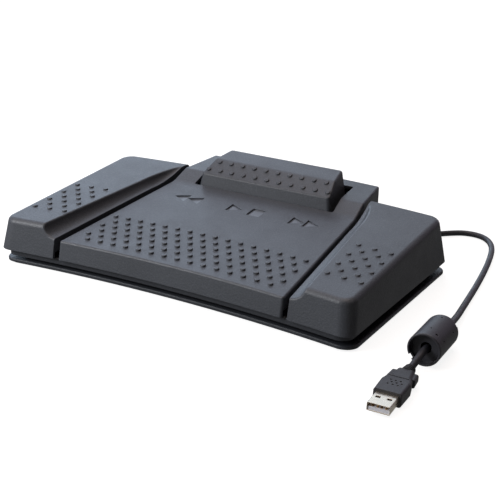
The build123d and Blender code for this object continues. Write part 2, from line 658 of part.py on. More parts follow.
def ferrite_sleeve():
    """Round sleeve with an open front end, a notch in each end and small vent holes."""
    y0, y1, r = FERRITE_Y[0], FERRITE_Y[1], FERRITE_RADIUS
    body = bar_y(FERRITE_X, y0, y1, r, r)
    body = fillet(body.edges().filter_by(GeomType.CIRCLE).sort_by(Axis.Y)[-1:], 2.2)
    body = fillet(body.edges().filter_by(GeomType.CIRCLE).sort_by(Axis.Y)[:1], 0.6)
    body = body - bar_y(FERRITE_X, y0 - 1, y1 + 1, r, FERRITE_BORE)
    body = body - bar_y(FERRITE_X, y0 - 1, y0 + 4.0, r, FERRITE_RADIUS - 1.1)
    body = body - bar_y(FERRITE_X, y1 - 1.2, y1 + 1, r, 6.6)
    body = body - bar_y(FERRITE_X, y0 + 5.0, y1 - 4.0, r, CORE_RADIUS)
    axis = Pos(FERRITE_X, 0, r)
    for angle, y, depth in FERRITE_NOTCHES:
        body = body - axis * Rot(0, angle, 0) * Pos(0, y, r - 1.0) * Box(3.0, depth, 4.0)
    for angle, y, hole in FERRITE_HOLES:
        body = body - axis * Rot(0, angle, 0) * Pos(0, y, r) * Cylinder(hole, 1.6)
    return body


def ferrite_core():
    y0, y1 = FERRITE_Y[0] + 5.0, FERRITE_Y[1] - 4.0
    core = bar_y(FERRITE_X, y0, y1, FERRITE_RADIUS, CORE_RADIUS)
    return core - bar_y(FERRITE_X, y0 - 1, y1 + 1, FERRITE_RADIUS, FERRITE_BORE)


def turned(shape):
    """A piece of the plug, turned about the middle of the plug's tip."""
    return Pos(PLUG_X, PLUG_TIP_Y, 0) * Rot(0, 0, PLUG_YAW) * Pos(-PLUG_X, -PLUG_TIP_Y, 0) * shape


def plug_boot():
    rear, front = BOOT_REAR_Y, PLUG_NECK_Y
    boot = Pos(PLUG_X, rear, PLUG_Z) * Rot(90, 0, 0) * Cone(
        3.1, 3.9, rear - front, align=(Align.CENTER, Align.CENTER, Align.MIN)
    )
    for i in range(3):
        y = rear - 1.2 - 2.0 * i
        boot = boot - (bar_y(PLUG_X, y - 1.0, y, PLUG_Z, 5) - bar_y(PLUG_X, y - 2, y + 1, PLUG_Z, 2.6))
    return boot


def section_loft(stations):
    """A body along Y through rounded oblongs: (y, width, height, corner)."""
    rings = []
    for y, width, height, corner in stations:
        plane = Plane(origin=(PLUG_X, y, PLUG_Z), x_dir=(1, 0, 0), z_dir=(0, 1, 0))
        rings.append(plane * RectangleRounded(width, height, corner))
    return loft(rings, ruled=True)


def plug_body():
    step = PLUG_STEP_Y
    neck = section_loft([(PLUG_NECK_Y, 9.6, 6.4, 2.0), (step, 12.6, 6.8, 2.0)])
    ears = section_loft([(PLUG_NECK_Y - 1.5, 14.6, 4.6, 1.2), (step + 2.0, 15.4, 4.8, 1.2)])
    swell = (step - 5.5, 16.0, 7.9, 1.8)
    grip = section_loft([(step, 13.6, 7.4, 1.6), swell, (PLUG_FRONT_Y, 15.0, 7.7, 1.4)])
    body = neck + ears + grip
    body = body - box(PLUG_X - 5.5, PLUG_X + 5.5, step - 1.8, step - 0.9, PLUG_Z + 3.0, PLUG_Z + 5)
    for row in range(3):
        for column in (-1, 0, 1):
            x = PLUG_X + (column + 0.5 * (row % 2)) * 2.6
            body = body - post(x, step - 6.0 - 2.4 * row, PLUG_Z + 3.5, PLUG_Z + 5, 0.6)
    return body


def plug_shell():
    x0, x1, z0, z1 = PLUG_X - 6.0, PLUG_X + 6.0, PLUG_Z - 2.25, PLUG_Z + 2.25
    shell = fillet(box(x0, x1, PLUG_TIP_Y, PLUG_FRONT_Y, z0, z1).edges().filter_by(Axis.Y), 0.5)
    shell = shell - box(x0 + 0.3, x1 - 0.3, PLUG_TIP_Y - 1, PLUG_FRONT_Y + 1, z0 + 0.3, z1 - 0.3)
    for x in (PLUG_X - 3.0, PLUG_X + 3.0):
        y = PLUG_FRONT_Y - 5.3
        shell = shell - box(x - 1.25, x + 1.25, y - 1.0, y + 1.0, z0 - 1, z1 + 1)
    return shell


def plug_insulator():
    z0 = PLUG_Z - 1.95
    return box(PLUG_X - 5.7, PLUG_X + 5.7, PLUG_TIP_Y + 0.4, PLUG_FRONT_Y, z0, z0 + 1.85)


def plug_contacts():
    z = PLUG_Z - 0.1
    strips = []
    for x in (-3.5, -1.0, 1.0, 3.5):
        strips.append(box(PLUG_X + x - 0.5, PLUG_X + x + 0.5, PLUG_TIP_Y + 1.2, PLUG_FRONT_Y, z, z + 0.2))
    return Compound(strips)


# ---- values that follow from the driving ones ---------------------------------------------
SWITCH_RISE = SWITCH_SIZE[2] + PLUNGER_RISE + TOUCH_GAP
SWITCH_TOUCH_Z = DECK_TOP + SWITCH_RISE
CENTRE_SWITCH_X = 30.0
CENTRE_STOP_X = 55.0
CASE_SCREWS = ((-109, 20), (109, 20), (-104, 121), (104, 121), (-25, 20), (25, 20), (-25, 155), (25, 155))
BOARD_SCREWS = ((-55, 65), (-17, 65), (-55, 103), (-25, 103))
CLAMP_Z = 11.7
CLAMP_SCREWS = ((EXIT_X - 6.5, 151.5), (EXIT_X + 6.5, 151.5))
EXIT_WALL_Y = CENTRE_REAR_SKIRT - WALL - SKIRT_GAP - 2.4
NOSE_END = EXIT_WALL_Y + 15.0
FERRITE_X = 159.7
FERRITE_Y = (0.2, 31.8)
FERRITE_RADIUS = 9.5
FERRITE_BORE = 3.1
CORE_RADIUS = 7.0
FERRITE_NOTCHES = ((232, 1.2, 3.6), (54, 31.0, 3.2))
FERRITE_HOLES = ((0, 9.5, 0.55), (2, 26.3, 0.55), (30, 5.2, 0.9), (62, 7.4, 0.5), (65, 22.3, 0.55))
BOOT_REAR_Y = -15.0         # stations along the plug, before it is turned
PLUG_NECK_Y = -21.8
PLUG_STEP_Y = -32.4
PLUG_FRONT_Y = -51.0
PLUG_TIP_Y = -63.8
PLUG_REACH = BOOT_REAR_Y - PLUG_TIP_Y
PLUG_END = (
    PLUG_X - PLUG_REACH * math.sin(math.radians(PLUG_YAW)),
    PLUG_TIP_Y + PLUG_REACH * math.cos(math.radians(PLUG_YAW)),
    PLUG_Z,
)
LEAD_END = (-17.5, 100.0, 15.0)

COIL_OUTER_TURN = COIL_RADIUS + COIL_PITCH
COIL_TOP_TURN_Z = CABLE_RADIUS + 0.05 + (COIL_LAYERS - 1) * COIL_PITCH
FLOOR_LINE = CABLE_RADIUS + 0.05

EXIT_ROUTE = [
    (EXIT_X, NOSE_END - 3.0, EXIT_Z),
    (EXIT_X, 186.5, 6.0),
    (EXIT_X + 0.2, 196.5, 2.6),
    (COIL_X + COIL_OUTER_TURN, COIL_Y, FLOOR_LINE),
]
PLUG_ROUTE = [
    (COIL_X, COIL_Y - COIL_OUTER_TURN, COIL_TOP_TURN_Z),
    (46.0, 180.6, 11.8),
    (69.0, 187.5, 4.2),
    (88.0, 196.0, FLOOR_LINE),
    (104.0, 214.5, FLOOR_LINE),
    (114.5, 222.6, FLOOR_LINE),
    (128.3, 221.2, FLOOR_LINE),
    (138.9, 205.7, FLOOR_LINE),
    (145.5, 174.0, FLOOR_LINE),
    (150.9, 132.0, FLOOR_LINE),
    (154.8, 88.0, FLOOR_LINE),
    (158.2, 60.0, 4.6),
    (159.9, 37.0, 8.9),
    (159.6, 19.0, 9.4),
    (159.5, 4.0, 9.0),
    (158.0, -7.8, 4.8),
    PLUG_END,
]
INNER_ROUTE = [
    (EXIT_X, EXIT_WALL_Y - 6.0, EXIT_Z),
    (EXIT_X, 148.0, 9.8),
    (40.0, 127.0, 9.8),
    (20.0, 120.0, 9.9),
    (4.0, 110.5, 10.4),
    (-12.0, 111.0, 14.0),
    LEAD_END,
]


def main():
    right = side_pedal()
    wing_switch = (WING_MID_X, SWITCH_Y, DECK_TOP)
    centre_switch = (CENTRE_SWITCH_X, CENTRE_SWITCH_Y, DECK_TOP)
    top_switch = (0.0, TOP_SWITCH_Y, TOP_SWITCH_SEAT)
    parts = {
        "non_slip_mat": non_slip_mat(),
        "base_tray": base_tray(),
        "ballast_plate": ballast_plate(),
        "chassis_frame": chassis_frame(),
        "right_pedal_cover": right,
        "left_pedal_cover": mirrored(right),
        "centre_pedal_cover": centre_pedal(),
        "top_pedal_cover": top_pedal(),
        "right_hinge_rod": bar_x(75.9, 118.0, HINGE_Y, HINGE_Z, ROD_RADIUS),
        "left_hinge_rod": bar_x(-118.0, -75.9, HINGE_Y, HINGE_Z, ROD_RADIUS),
        "centre_hinge_rod": bar_x(-62.5, 62.5, HINGE_Y, HINGE_Z, ROD_RADIUS),
        "top_hinge_pin": bar_x(-42.0, 42.0, TOP_HINGE_Y, TOP_HINGE_Z, PIN_RADIUS),
        "right_spring": spring(WING_MID_X, SPRING_Y, DECK_TOP, WING_SPRING_TOP - 0.1, 5.0, 0.6, 6),
        "left_spring": spring(-WING_MID_X, SPRING_Y, DECK_TOP, WING_SPRING_TOP - 0.1, 5.0, 0.6, 6),
        "top_spring": spring(0, TOP_SPRING_Y, TOP_SWITCH_SEAT, TOP_SPRING_TOP - 0.1, 3.6, 0.5, 5),
        "right_switch": switch(*wing_switch),
        "left_switch": mirrored(switch(*wing_switch)),
        "centre_switch": switch(*centre_switch),
        "top_switch": switch(*top_switch),
        "right_plunger": plunger(*wing_switch),
        "left_plunger": mirrored(plunger(*wing_switch)),
        "centre_plunger": plunger(*centre_switch),
        "top_plunger": plunger(*top_switch),
        "circuit_board": circuit_board(),
        "controller_chip": controller_chip(),
        "crystal_can": crystal_can(),
        "board_connector": board_connector(),
        "cable_gland": cable_gland(),
        "cable_coil": coil_solid(),
        "ferrite_sleeve": ferrite_sleeve(),
        "ferrite_core": ferrite_core(),
        "plug_boot": turned(plug_boot()),
        "plug_body": turned(plug_body()),
        "plug_shell": turned(plug_shell()),
        "plug_insulator": turned(plug_insulator()),
        "plug_contacts": turned(plug_contacts()),
    }
    centre_x, centre_y = CENTRE_SPRING
    parts["centre_springs"] = Compound(
        [spring(x, centre_y, DECK_TOP, CENTRE_SPRING_TOP - 0.1, 5.0, 0.6, 5) for x in (-centre_x, centre_x)]
    )
    stops = [(x, STOP_Y) for x in (-WING_MID_X, -CENTRE_STOP_X, CENTRE_STOP_X, WING_MID_X)]
    parts["stop_bumpers"] = Compound([post(x, y, STOP_TOP - 2.0, STOP_TOP, 4.0) for x, y in stops])
    parts["board_screws"] = Compound([screw(x, y, BOARD_Z + 1.6, 2.0, 1.0, 4.5, -1) for x, y in BOARD_SCREWS])
    clamp = box(EXIT_X - 9.0, EXIT_X + 9.0, 149.0, 154.0, CLAMP_Z, CLAMP_Z + 1.6)
    for x, y in CLAMP_SCREWS:
        clamp = clamp - post(x, y, CLAMP_Z - 1, CLAMP_Z + 3, 1.3)
    parts["cable_clamp"] = clamp
    parts["clamp_screws"] = Compound([screw(x, y, CLAMP_Z + 1.6, 2.0, 1.0, 4.5, -1) for x, y in CLAMP_SCREWS])
    parts["case_screws"] = Compound([screw(x, y, MAT_TOP + 1.5, 2.8, 1.4, 8.0, 1) for x, y in CASE_SCREWS])
    cords = {
        "cable_lead": (EXIT_ROUTE, CABLE_RADIUS),
        "usb_cable": (PLUG_ROUTE, CABLE_RADIUS),
        "inner_lead": (INNER_ROUTE, CABLE_RADIUS - 0.3),
    }
    for name, (route, radius) in cords.items():
        parts[name], length = tube(route, radius)
        fill = parts[name].volume / (math.pi * radius**2 * length)
        print(name, "length", round(length, 1), "volume ratio", round(fill, 4))
        print("  radii", [round(r, 1) for r in path_radii(route)])
    os.makedirs("parts", exist_ok=True)
    for name, shape in parts.items():
        export_step(Pos(0, -MID_Y, 0) * shape, f"parts/{name}.step")
    print("depth centre", round(MID_Y, 3), "nodes", len(parts))


main()
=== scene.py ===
import bpy
import json
import math
from mathutils import Matrix, Vector


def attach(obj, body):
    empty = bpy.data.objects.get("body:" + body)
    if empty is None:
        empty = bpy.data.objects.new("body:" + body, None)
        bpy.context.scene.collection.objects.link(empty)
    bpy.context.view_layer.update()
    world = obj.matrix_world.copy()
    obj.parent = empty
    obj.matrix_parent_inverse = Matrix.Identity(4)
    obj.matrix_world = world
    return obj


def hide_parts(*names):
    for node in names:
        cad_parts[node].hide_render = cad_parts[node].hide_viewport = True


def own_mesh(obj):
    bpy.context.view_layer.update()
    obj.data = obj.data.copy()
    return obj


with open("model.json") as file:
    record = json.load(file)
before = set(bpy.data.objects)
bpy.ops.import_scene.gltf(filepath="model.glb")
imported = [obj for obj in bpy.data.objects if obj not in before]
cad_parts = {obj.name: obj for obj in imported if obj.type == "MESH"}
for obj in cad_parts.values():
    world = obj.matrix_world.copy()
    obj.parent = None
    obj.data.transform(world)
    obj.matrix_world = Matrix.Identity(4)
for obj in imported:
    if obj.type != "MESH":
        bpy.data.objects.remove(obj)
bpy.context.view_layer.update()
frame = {"nodes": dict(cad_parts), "record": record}
nodes = frame["nodes"]

# Metres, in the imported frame: X to the user's right, Y away from the user, Z up, floor at Z = 0.
MM = 0.001
MID_Y = 79.056              # how far the origin lies behind the base's front middle, in mm


def at(x, y, z):
    """A point given in millimetres, with y counted from the front middle of the base."""
    return Vector((x * MM, (y - MID_Y) * MM, z * MM))


# ---- camera -------------------------------------------------------------------------------
# Angles in radians, the place as for at(), the lens in mm on a sensor 36 mm wide.
CAMERA_PITCH, CAMERA_YAW, CAMERA_ROLL = 0.35609, 0.48041, 0.0499
CAMERA_PLACE = (307.421, -488.752, 248.015)
CAMERA_LENS, CAMERA_SENSOR = 74.96, 36.0
CAMERA_SHIFT = (0.00035, 0.00014)


def make_camera():
    data = bpy.data.cameras.new("camera")
    data.sensor_width = CAMERA_SENSOR
    data.lens = CAMERA_LENS
    data.shift_x, data.shift_y = CAMERA_SHIFT
    data.clip_start, data.clip_end = 0.05, 30.0
    camera = bpy.data.objects.new("camera", data)
    forward = Vector((
        -math.sin(CAMERA_YAW) * math.cos(CAMERA_PITCH),
        math.cos(CAMERA_YAW) * math.cos(CAMERA_PITCH),
        -math.sin(CAMERA_PITCH),
    ))
    level = Vector((math.cos(CAMERA_YAW), math.sin(CAMERA_YAW), 0))
    upward = level.cross(forward)
    right = math.cos(CAMERA_ROLL) * level + math.sin(CAMERA_ROLL) * upward
    up = -math.sin(CAMERA_ROLL) * level + math.cos(CAMERA_ROLL) * upward
    turn = Matrix((right, up, -forward)).transposed()
    camera.matrix_world = Matrix.Translation(at(*CAMERA_PLACE)) @ turn.to_4x4()
    bpy.context.scene.collection.objects.link(camera)
    bpy.context.scene.camera = camera


# ---- cord ---------------------------------------------------------------------------------
CABLE_DIAMETER = 0.004
COIL_X, COIL_Y = 19.9, 205.0
COIL_RADIUS = 22.0          # of the middle turns' centre line
COIL_PITCH = 4.1            # from turn to turn, sideways and upwards
COIL_LAYERS, COIL_ACROSS = 4, 3
COIL_TURNS = 10.75
POINTS_PER_TURN = 16
HALF_MOVE = 0.0625          # of a turn: half of a change of place
FLOOR_LINE = 2.05           # height of the centre line where the cable lies on the floor
EXIT_ROUTE = [
    (46.0, 175.84, 6.8),
    (46.0, 186.5, 6.0),
    (46.2, 196.5, 2.6),
]
PLUG_ROUTE = [
    (46.0, 180.6, 11.8),
    (69.0, 187.5, 4.2),
    (88.0, 196.0, FLOOR_LINE),
    (104.0, 214.5, FLOOR_LINE),
    (114.5, 222.6, FLOOR_LINE),
    (128.3, 221.2, FLOOR_LINE),
    (138.9, 205.7, FLOOR_LINE),
    (145.5, 174.0, FLOOR_LINE),
    (150.9, 132.0, FLOOR_LINE),
    (154.8, 88.0, FLOOR_LINE),
    (158.2, 60.0, 4.6),
    (159.9, 37.0, 8.9),
    (159.6, 19.0, 9.4),
    (159.5, 4.0, 9.0),
    (158.0, -7.8, 4.8),
    (158.21, -15.03, 4.25),
]


def ease(t):
    t = min(1.0, max(0.0, t))
    return t * t * (3 - 2 * t)


def coil_moves():
    """Where the wire changes its place in the coil: (turn, radial step, layer step).

    Each layer's sideways steps lie a quarter turn before those of the layer under it, so that
    room is made before the wire climbs into it.
    """
    moves = []
    for layer in range(COIL_LAYERS):
        first = 0.75 + (COIL_ACROSS - 0.25) * layer
        inwards = -1 if layer % 2 == 0 else 1
        moves += [(first + i, inwards, 0) for i in range(COIL_ACROSS - 1)]
        if layer < COIL_LAYERS - 1:
            moves.append((first + COIL_ACROSS - 1.125, 0, 1))
    return moves


def coil_points():
    """The coil's control points, counter-clockwise seen from above, from its outer bottom turn."""
    points = []
    for i in range(round(COIL_TURNS * POINTS_PER_TURN) + 1):
        turn = i / POINTS_PER_TURN
        radius = COIL_RADIUS + COIL_PITCH
        height = FLOOR_LINE
        for centre, sideways, upwards in coil_moves():
            done = ease((turn - centre + HALF_MOVE) / (2 * HALF_MOVE))
            radius += sideways * COIL_PITCH * done
            height += upwards * COIL_PITCH * done
        reach = radius / math.cos(math.pi / POINTS_PER_TURN)
        angle = 2 * math.pi * turn
        x, y = COIL_X + reach * math.cos(angle), COIL_Y + reach * math.sin(angle)
        points.append((x, y, height))
    return points


def make_cord(material):
    points = [at(*p) for p in EXIT_ROUTE + coil_points() + PLUG_ROUTE]
    data = bpy.data.curves.new("usb_cord", "CURVE")
    data.dimensions = "3D"
    spline = data.splines.new("NURBS")
    spline.points.add(len(points) - 1)
    for point, place in zip(spline.points, points):
        point.co = (*place, 1)
    spline.order_u = 3
    spline.use_endpoint_u = True
    spline.resolution_u = 6
    data.bevel_depth = CABLE_DIAMETER / 2
    data.bevel_resolution = 5
    data.use_fill_caps = True
    data.materials.append(material)
    cord = bpy.data.objects.new("usb_cord", data)
    bpy.context.scene.collection.objects.link(cord)
    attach(cord, "base")
    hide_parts("cable_lead", "cable_coil", "usb_cable")


# ---- materials ----------------------------------------------------------------------------
class Shader:
    """A material's node tree, with short calls for the nodes that it needs."""

    def __init__(self, name):
        self.material = bpy.data.materials.new(name)
        self.material.use_nodes = True
        self.tree = self.material.node_tree
        self.tree.nodes.clear()
        self.out = self.add("ShaderNodeOutputMaterial")
        self.bsdf = self.add("ShaderNodeBsdfPrincipled")
        self.link(self.bsdf.outputs["BSDF"], self.out.inputs["Surface"])
        self.coords = self.add("ShaderNodeTexCoord").outputs["Object"]

    @classmethod
    def of(cls, material):
        """The same calls on a material that this class has already made."""
        shader = cls.__new__(cls)
        shader.material = material
        shader.tree = material.node_tree
        shader.bsdf = shader.tree.nodes["Principled BSDF"]
        shader.coords = shader.tree.nodes["Texture Coordinate"].outputs["Object"]
        return shader

    def add(self, kind, **settings):
        node = self.tree.nodes.new(kind)
        for key, value in settings.items():
            setattr(node, key, value)
        return node

    def link(self, source, target):
        self.tree.links.new(source, target)

    def set(self, **values):
        for key, value in values.items():
            self.bsdf.inputs[key.replace("_", " ")].default_value = value

    def stretched(self, scale):
        node = self.add("ShaderNodeMapping")
        node.inputs["Scale"].default_value = scale
        self.link(self.coords, node.inputs["Vector"])
        return node.outputs["Vector"]

    def noise(self, scale, detail=2.0, rough=0.5, vector=None):
        node = self.add("ShaderNodeTexNoise")
        node.inputs["Scale"].default_value = scale
        node.inputs["Detail"].default_value = detail
        node.inputs["Roughness"].default_value = rough
        self.link(vector or self.coords, node.inputs["Vector"])
        return node.outputs["Fac"]

    def cells(self, scale, vector=None):
        node = self.add("ShaderNodeTexVoronoi")
        node.inputs["Scale"].default_value = scale
        self.link(vector or self.coords, node.inputs["Vector"])
        return node.outputs["Distance"]

    def math(self, operation, first, second=0.0):
        node = self.add("ShaderNodeMath", operation=operation)
        for socket, value in zip(node.inputs, (first, second)):
            if isinstance(value, (int, float)):
                socket.default_value = value
            else:
                self.link(value, socket)
        return node.outputs["Value"]

    def remap(self, value, low, high, new_low, new_high):
        node = self.add("ShaderNodeMapRange")
        self.link(value, node.inputs["Value"])
        limits = {"From Min": low, "From Max": high, "To Min": new_low, "To Max": new_high}
        for key, number in limits.items():
            node.inputs[key].default_value = number
        return node.outputs["Result"]

    def mix(self, factor, first, second):
        node = self.add("ShaderNodeMix", data_type="RGBA")
        self.link(factor, node.inputs["Factor"])
        for socket, value in ((node.inputs[6], first), (node.inputs[7], second)):
            if isinstance(value, tuple):
                socket.default_value = (*value, 1)
            else:
                self.link(value, socket)
        return node.outputs[2]

    def bevel(self, radius):
        node = self.add("ShaderNodeBevel", samples=6)
        node.inputs["Radius"].default_value = radius
        return node.outputs["Normal"]

    def edges(self, rounded):
        """Near 1 on outer edges: how far the rounded normal turns from the true one."""
        normal = self.add("ShaderNodeNewGeometry").outputs["Normal"]
        dot = self.add("ShaderNodeVectorMath", operation="DOT_PRODUCT")
        self.link(rounded, dot.inputs[0])
        self.link(normal, dot.inputs[1])
        turned = self.math("SUBTRACT", 1.0, dot.outputs["Value"])
        return self.remap(turned, 0.02, 0.25, 0.0, 1.0)

    def bump(self, height, strength, distance, normal=None):
        node = self.add("ShaderNodeBump")
        node.inputs["Strength"].default_value = strength
        node.inputs["Distance"].default_value = distance
        self.link(height, node.inputs["Height"])
        if normal is not None:
            self.link(normal, node.inputs["Normal"])
        return node.outputs["Normal"]

    def surface(self, colour, roughness, normal):
        self.link(colour, self.bsdf.inputs["Base Color"])
        self.link(roughness, self.bsdf.inputs["Roughness"])
        self.link(normal, self.bsdf.inputs["Normal"])
        return self.material


# Colours are linear RGB, a grain is a noise scale per metre, depths and radii are in metres.
# How much paler the outer edges are drawn: partly rubbed wear, partly a painted highlight.
EDGE_WEAR_AND_HIGHLIGHT = 0.35


def moulded_plastic(name, colour, roughness=0.5, grain=900.0, depth=0.00010):
    """Grained plastic: faint clouds, fine speckle, wear and painted highlight on edges, a leathery
    bump.
    """
    s = Shader(name)
    light = tuple(c * 1.10 + 0.001 for c in colour)
    dark = tuple(c * 0.92 for c in colour)
    speck = tuple(min(1.0, c * 1.75 + 0.006) for c in colour)
    # The edge colour: partly rubbed wear, partly a painted highlight along the rounded edges.
    rubbed_and_highlit = tuple(min(1.0, c * 2.1 + 0.03) for c in colour)
    clouds = s.remap(s.noise(22, 4.0, 0.6), 0.3, 0.7, 0.0, 1.0)
    grit = s.noise(grain * 1.3, 3.0, 0.75)
    specks = s.remap(grit, 0.50, 0.72, 0.0, 0.55)
    speckled = s.mix(specks, s.mix(clouds, dark, light), speck)
    rounded = s.bevel(0.0005)
    broken = s.remap(s.noise(260, 3.0, 0.7), 0.35, 0.65, 0.4, 1.0)
    # The edge mask: where wear and a painted highlight make the outer edges paler.
    wear = s.math("MULTIPLY", s.math("MULTIPLY", s.edges(rounded), broken), EDGE_WEAR_AND_HIGHLIGHT)
    smear = s.remap(s.noise(60, 5.0, 0.65), 0.3, 0.7, roughness - 0.03, roughness + 0.04)
    matt = s.math("ADD", smear, s.remap(grit, 0.3, 0.7, 0.05, -0.05))
    fine = s.math("MULTIPLY", s.noise(grain * 2.3, 2.0, 0.6), 0.7)
    pebbles = s.bump(s.math("ADD", s.cells(grain), fine), 0.6, depth, rounded)
    return s.surface(s.mix(wear, speckled, rubbed_and_highlit), matt, pebbles)


def signed_cover(name, colour, roughness):
    """The centre pedal's plastic: the sunk floors of its signs are smoother and paler."""
    material = moulded_plastic(name, colour, roughness)
    s = Shader.of(material)
    split = s.add("ShaderNodeSeparateXYZ")
    s.link(s.coords, split.inputs["Vector"])
    rise = s.math("MULTIPLY", split.outputs["Y"], CENTRE_SLOPE)
    sunk = s.math("SUBTRACT", CENTRE_HEIGHT, s.math("SUBTRACT", split.outputs["Z"], rise))
    floor = 1.0
    for value, limits in ((sunk, SIGN_DEPTHS), (split.outputs["Y"], SIGN_BAND)):
        for limit, test in zip(limits, ("GREATER_THAN", "LESS_THAN")):
            floor = s.math("MULTIPLY", s.math(test, value, limit), floor)
    base, rough = s.bsdf.inputs["Base Color"], s.bsdf.inputs["Roughness"]
    plain, matt = base.links[0].from_socket, rough.links[0].from_socket
    paler = tuple(c * 1.9 + 0.01 for c in colour)
    s.link(s.mix(floor, plain, paler), base)
    s.link(s.math("SUBTRACT", matt, s.math("MULTIPLY", floor, 0.12)), rough)
    return material


def rubber(name, colour, roughness=0.62, grain=1500.0):
    """Matt rubber or soft jacket: paler clouds, uneven sheen and a fine grain."""
    s = Shader(name)
    light = tuple(c * 1.45 + 0.004 for c in colour)
    clouds = s.remap(s.noise(70, 4.0, 0.6), 0.3, 0.7, 0.0, 1.0)
    sheen = s.remap(s.noise(180, 3.0, 0.6), 0.3, 0.7, roughness - 0.07, roughness + 0.07)
    fine = s.bump(s.noise(grain, 3.0, 0.6), 0.35, 0.00004, s.bevel(0.0004))
    s.set(Specular_IOR_Level=0.45)
    return s.surface(s.mix(clouds, colour, light), sheen, fine)


def metal(name, colour, roughness=0.3, lines=(1, 1, 1), wear=0.25):
    """Drawn or plated metal: fine lines along one axis, smears and dull spots."""
    s = Shader(name)
    streaks = s.noise(900, 3.0, 0.6, s.stretched(lines))
    dull = tuple(c * 0.72 for c in colour)
    spots = s.remap(s.noise(240, 4.0, 0.65), 0.45, 0.75, 0.0, wear)
    sheen = s.remap(streaks, 0.3, 0.7, roughness - 0.08, roughness + 0.12)
    drawn = s.bump(streaks, 0.25, 0.00002, s.bevel(0.0002))
    s.set(Metallic=1.0)
    return s.surface(s.mix(spots, colour, dull), sheen, drawn)


def gloss_plastic(name, colour, roughness=0.25):
    """Smooth small mouldings: faint clouds, uneven sheen and hardly any grain."""
    s = Shader(name)
    dark = tuple(c * 0.88 for c in colour)
    clouds = s.remap(s.noise(300, 3.0, 0.6), 0.3, 0.7, 0.0, 1.0)
    sheen = s.remap(s.noise(500, 3.0, 0.6), 0.3, 0.7, roughness - 0.05, roughness + 0.08)
    fine = s.bump(s.noise(1200, 2.0, 0.5), 0.15, 0.00002, s.bevel(0.0002))
    return s.surface(s.mix(clouds, colour, dark), sheen, fine)


def board_laminate(name):
    """Green solder mask over paler copper tracks."""
    s = Shader(name)
    mask, track = (0.012, 0.09, 0.035), (0.035, 0.19, 0.07)
    grid = s.cells(420, vector=s.stretched((1.0, 0.22, 1.0)))
    tracks = s.remap(grid, 0.18, 0.24, 1.0, 0.0)
    sheen = s.remap(s.noise(200, 3.0, 0.6), 0.3, 0.7, 0.22, 0.36)
    raised = s.bump(tracks, 0.4, 0.00003, s.bevel(0.0002))
    return s.surface(s.mix(tracks, mask, track), sheen, raised)


SLATE = (0.048, 0.053, 0.063)
COVER_ROUGHNESS = 0.46
SIGN_DEPTHS = (0.63 * MM, 1.17 * MM)        # the floors lie 0.9 below the cover's top
SIGN_BAND = (at(0, 82.0, 0).y, at(0, 100.0, 0).y)
CENTRE_SLOPE = 0.1025       # the centre pedal's top rises by this much per millimetre of depth
CENTRE_HEIGHT = (22.5 + CENTRE_SLOPE * MID_Y) * MM


def make_materials():
    return {
        "cover_plastic": moulded_plastic("cover_plastic", SLATE, COVER_ROUGHNESS),
        "base_plastic": moulded_plastic("base_plastic", (0.030, 0.033, 0.040), roughness=0.5),
        "mat_rubber": rubber("mat_rubber", (0.016, 0.016, 0.018)),
        "stop_rubber": rubber("stop_rubber", (0.02, 0.02, 0.02)),
        "ballast_steel": metal("ballast_steel", (0.52, 0.52, 0.5), 0.42, (1, 0.1, 1)),
        "rod_steel": metal("rod_steel", (0.62, 0.62, 0.63), 0.25, (0.1, 1, 1)),
        "spring_steel": metal("spring_steel", (0.5, 0.5, 0.52), 0.3),
        "switch_plastic": moulded_plastic("switch_plastic", (0.02, 0.02, 0.023), grain=1800),
        "plunger_plastic": gloss_plastic("plunger_plastic", (0.45, 0.035, 0.02)),
        "board_laminate": board_laminate("board_laminate"),
        "chip_plastic": moulded_plastic("chip_plastic", (0.012, 0.012, 0.013), grain=2600),
        "crystal_metal": metal("crystal_metal", (0.7, 0.69, 0.66), 0.22, (0.1, 1, 1)),
        "connector_plastic": gloss_plastic("connector_plastic", (0.7, 0.67, 0.57), 0.4),
        "screw_steel": metal("screw_steel", (0.55, 0.55, 0.57), 0.35),
        "clamp_plastic": moulded_plastic("clamp_plastic", (0.022, 0.022, 0.025)),
        "gland_rubber": rubber("gland_rubber", (0.022, 0.022, 0.026)),
        "cable_jacket": rubber("cable_jacket", (0.030, 0.030, 0.037), 0.5, 1300),
        "ferrite_case": moulded_plastic("ferrite_case", (0.034, 0.034, 0.041), 0.42, 1500, 0.00004),
        "ferrite": metal("ferrite", (0.06, 0.06, 0.065), 0.7),
        "plug_rubber": rubber("plug_rubber", (0.026, 0.026, 0.030)),
        "plug_plastic": moulded_plastic("plug_plastic", (0.032, 0.032, 0.036), 0.45, 1700, 0.00004),
        "plug_metal": metal("plug_metal", (0.97, 0.88, 0.73), 0.24, (1, 0.12, 1), 0.15),
        "plug_insulation": gloss_plastic("plug_insulation", (0.92, 0.92, 0.98), 0.35),
        "contact_metal": metal("contact_metal", (0.72, 0.47, 0.22), 0.3, (1, 0.1, 1)),
    }


def dress_nodes(materials):
    for part in frame["record"]["subparts"]:
        mesh = nodes[part["node"]].data
        mesh.materials.clear()
        mesh.materials.append(materials[part["material_slot"]])
    cover = nodes["centre_pedal_cover"].data
    cover.materials[0] = signed_cover("centre_cover_plastic", SLATE, COVER_ROUGHNESS)


# ---- springs ------------------------------------------------------------------------------
# Node, joint that presses it, its fixed end, the share of its height left at the joint's limit,
# and the share of its width that keeps it clear of the cover's front wall there.
SPRINGS = (
    ("left_spring", "left_pedal_hinge", (-96.0, 60.0, 7.8), 0.91, 1.0),
    ("right_spring", "right_pedal_hinge", (96.0, 60.0, 7.8), 0.91, 1.0),
    ("centre_springs", "centre_pedal_hinge", (0.0, 50.0, 7.8), 0.85, 1.0),
    ("top_spring", "top_pedal_hinge", (0.0, 122.5, 24.0), 0.79, 0.92),
)


